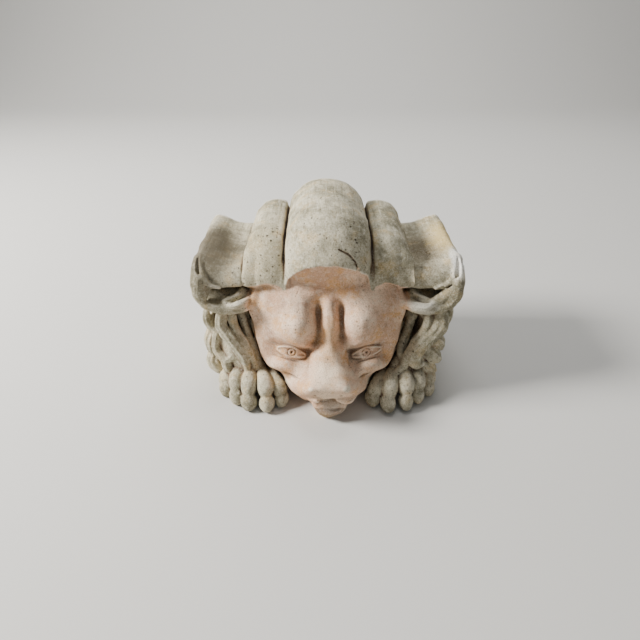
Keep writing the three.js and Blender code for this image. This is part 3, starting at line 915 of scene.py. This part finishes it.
# Pale on the edges: partly real wear, partly a painted highlight on the crests.
wear_and_painted_highlight = (edge_layer + (mottle - 0.5) * 0.35).ramp(0.16, 0.6)
tint = stone.mix(face_mask, wash, flesh)
tint = stone.mix(wear_and_painted_highlight * 0.7, tint, colour(236, 228, 208))
print("colours so far:", len(stone.tree.nodes), "nodes")


# %% Marks that belong to one place
def near(place, stretch, inner, outer):
    x, y, z = place
    place = (x / 1000, (y + shift_y) / 1000, z / 1000)
    spot = stone.node("ShaderNodeTexCoord", output="Object")
    away = stone.node("ShaderNodeVectorMath", {"operation": "SUBTRACT"}, {0: spot, 1: place})
    away = stone.node("ShaderNodeVectorMath", {"operation": "MULTIPLY"}, {0: away, 1: stretch})
    away = stone.node("ShaderNodeVectorMath", {"operation": "LENGTH"}, {0: away}, output="Value")
    away = away + (patch - 0.5) * 0.012 + (mottle - 0.5) * 0.008
    return 1 - away.ramp(inner / 1000, outer / 1000)


grime = near((-86, 14, 104), (1, 0.55, 0.8), 8, 34)
right_grime = near((74, 16, 101), (1, 0.5, 0.8), 3, 24)
rib_tone = near((-50, -6, 110), (1, 0.5, 0.6), 4, 24)
ochre = near((94, 30, 108), (1, 0.5, 1), 4, 20)
# The pale patch on the nose is a painted highlight.
nose_painted_highlight = near((0, -62, 34), (1, 0.8, 0.7), 4, 20)
bridge = near((1, -42, 56), (1.5, 0.6, 0.6), 3, 16)
mouth_grey = near((3, -67, 14.5), (1, 0.8, 1.2), 5, 10)
chin_tone = near((-1, -66, 4), (0.8, 0.8, 1), 3, 9)
lobe_light = near((69, -28, 76), (0.8, 1, 1.3), 6, 11)
bruise = near((98, -8, 104), (1.2, 0.7, 1.0), 8, 13)
tint = layered(tint, [
    (grime * 0.85, (96, 88, 72)),
    (right_grime * 0.85, (104, 92, 68)),
    (rib_tone * 0.45, (170, 158, 122)),
    (ochre * 0.7, (222, 192, 118)),
    (nose_painted_highlight * 0.6, (250, 230, 200)),
    (bridge * 0.6, (236, 190, 138)),
    (chin_tone * 0.7, (222, 194, 146)),
    (lobe_light * 0.6, (234, 229, 212)),
    (bruise * (mottle.ramp(0.34, 0.5) * 0.5 + 0.4), (240, 238, 230)),
])
print("with the local marks:", len(stone.tree.nodes), "nodes")

# %% Dirt and specks
# Hollows get brown dirt and painted shade, the deepest ones near-black painted shade, with less of
# both on the face.
less_on_face = 1 - face_mask * 0.55
dirt_and_painted_shade = (hollow_layer + (patch - 0.5) * 0.3 + (mottle - 0.5) * 0.12).ramp(0.18, 0.7)
deep_painted_shade = (hollow_layer + (mottle - 0.5) * 0.15).ramp(0.5, 0.95)
pale = 0.3 - grime * 0.26
tint = layered(tint, [
    (dirt_and_painted_shade * less_on_face * 0.85, (104, 78, 52)),
    (deep_painted_shade * less_on_face * 0.92, (40, 29, 20)),
    (mouth_grey * 0.6, (150, 141, 131)),
    (speck.ramp(0.6, 0.75) * 0.4, (92, 80, 60)),
    (speck.ramp(0.4, 0.27) * pale, (240, 232, 212)),
    (grain.ramp(0.52, 0.66) * 0.5, (112, 94, 76)),
    (grain.ramp(0.46, 0.33) * pale, (246, 238, 222)),
])
print("with dirt and specks:", len(stone.tree.nodes), "nodes")


# %% Pinholes
def bubbles(scale, size, rare):
    settings = {"Vector": stone.node("ShaderNodeTexCoord", output="Object"), "Scale": scale}
    reach = stone.node("ShaderNodeTexVoronoi", {}, settings)
    picked = stone.node("ShaderNodeTexVoronoi", {}, settings, output="Color")
    picked = stone.node("ShaderNodeSeparateColor", {}, {"Color": picked}).ramp(rare, rare + 0.04)
    return (1 - reach.ramp(size * 0.45, size)) * picked


gathered = cloud.ramp(0.46, 0.6) * 0.85 + 0.08
pinhole = (bubbles(230, 0.2, 0.66) * gathered).math("MAXIMUM", bubbles(430, 0.26, 0.7) * gathered)
left_pitted = near((-43, 8, 119), (1, 0.7, 1), 7, 14)
front_pitted = near((18, -12, 124), (1.4, 0.5, 0.6), 5, 12)
pinhole = pinhole.math("MAXIMUM", (left_pitted + front_pitted) * bubbles(300, 0.34, 0.25))
pinhole = pinhole * (1 - face_mask * 0.3)
# The pits are painted near black: painted shade inside them.
tint = stone.mix(pinhole * 0.85, tint, colour(46, 36, 26))
print("with pinholes:", len(stone.tree.nodes), "nodes")

# %% Roughness and surface grain
BUMP_STRENGTH, BUMP_DISTANCE = 0.7, 0.0007
ROUGHNESS, SPECULAR = 0.84, 0.25

height = grain * 0.5 + speck * 0.45 + mottle * 0.5 + brushed * 0.4 - pinhole * 1.6
bump = stone.node("ShaderNodeBump", {}, {"Strength": BUMP_STRENGTH, "Distance": BUMP_DISTANCE,
                                         "Height": height})
stone.give(stone.shader.inputs["Base Color"], tint)
stone.give(stone.shader.inputs["Roughness"], ROUGHNESS + mottle * 0.14)
stone.give(stone.shader.inputs["Normal"], bump)
stone.shader.inputs["Specular IOR Level"].default_value = SPECULAR
mesh.materials.clear()
mesh.materials.append(stone.material)
print("cast_stone:", len(stone.tree.nodes), "nodes")

# %% [markdown]
# ## Floor, light and camera
# A pale sheet of paper lies under the piece and curves up into a backdrop behind it. Broad soft
# lights stand around it. The main one comes from the front left and high up, so the right side
# of the face falls into soft shade. The camera has a wide lens and sits close above the piece,
# looking down by 34 degrees.

# %% Floor
SWEEP_SIDE, SWEEP_FRONT, SWEEP_BACK, SWEEP_ROUND, SWEEP_TOP = 4.0, -3.0, 1.7, 0.6, 3.0

profile = [(SWEEP_FRONT, 0.0)]
for turn in np.linspace(0, math.pi / 2, 13):
    across = SWEEP_BACK - SWEEP_ROUND * (1 - math.sin(turn))
    profile.append((across, SWEEP_ROUND * (1 - math.cos(turn))))
profile.append((SWEEP_BACK, SWEEP_TOP))
sweep = [(side * SWEEP_SIDE, y, z) for side in (-1, 1) for y, z in profile]
last = len(profile)
floor_mesh = bpy.data.meshes.new("floor")
floor_mesh.from_pydata(sweep, [], [(i, last + i, last + i + 1, i + 1) for i in range(last - 1)])
floor_mesh.shade_smooth()
floor = bpy.data.objects.new("floor", floor_mesh)
bpy.context.scene.collection.objects.link(floor)
paper = Material("pale_paper")
paper.give(paper.shader.inputs["Base Color"], colour(208, 206, 201))
paper.give(paper.shader.inputs["Roughness"], 0.9)
floor_mesh.materials.append(paper.material)
print("floor:", len(floor_mesh.polygons), "faces,", SWEEP_BACK, "m to the backdrop")


# %% Light
def soft_light(name, place, aim, size, power, tone):
    lamp = bpy.data.lights.new(name, "AREA")
    lamp.shape = "DISK"
    lamp.size = size
    lamp.energy = power
    lamp.color = tone
    item = bpy.data.objects.new(name, lamp)
    item.location = place
    x, y, z = np.array(aim) - np.array(place)
    item.rotation_euler = (math.atan2(math.hypot(x, y), -z), 0, math.atan2(-x, y))
    bpy.context.scene.collection.objects.link(item)


PIECE_CENTRE = (0, 0, 0.07)
BACKDROP_CENTRE = (0.0, 1.7, 0.5)
WORLD_COLOUR, WORLD_STRENGTH = (0.86, 0.88, 0.9, 1), 0.22

soft_light("main_light", (-1.14, -0.05, 0.77), PIECE_CENTRE, 0.4, 44, (1.0, 0.98, 0.95))
soft_light("fill_light", (0.9, -0.9, 0.6), PIECE_CENTRE, 1.2, 0.5, (0.93, 0.96, 1.0))
soft_light("back_light", (0.1, 0.8, 1.2), PIECE_CENTRE, 1.0, 9.0, (1.0, 1.0, 1.0))
soft_light("backdrop_light", (0.0, 0.5, 1.7), BACKDROP_CENTRE, 0.8, 9.0, (0.96, 0.98, 1.0))

world = bpy.data.worlds.new("studio")
bpy.context.scene.world = world
world.use_nodes = True
background = world.node_tree.nodes["Background"]
background.inputs["Color"].default_value = WORLD_COLOUR
background.inputs["Strength"].default_value = WORLD_STRENGTH
print("lights:", len(bpy.data.lights), "lamps and a dim world")

# %% Camera
CAMERA_PLACE = (-0.0058, -0.3256, 0.265)
CAMERA_PITCH = math.radians(34)
SENSOR_WIDTH, LENS = 36, 27

camera_data = bpy.data.cameras.new("camera")
camera_data.sensor_width = SENSOR_WIDTH
camera_data.lens = LENS
camera = bpy.data.objects.new("camera", camera_data)
camera.location = (CAMERA_PLACE[0], CAMERA_PLACE[1] + shift_y / 1000, CAMERA_PLACE[2])
camera.rotation_euler = (math.pi / 2 - CAMERA_PITCH, 0, 0)
bpy.context.scene.collection.objects.link(camera)
bpy.context.scene.camera = camera
print("camera:", [round(v, 4) for v in camera.location])
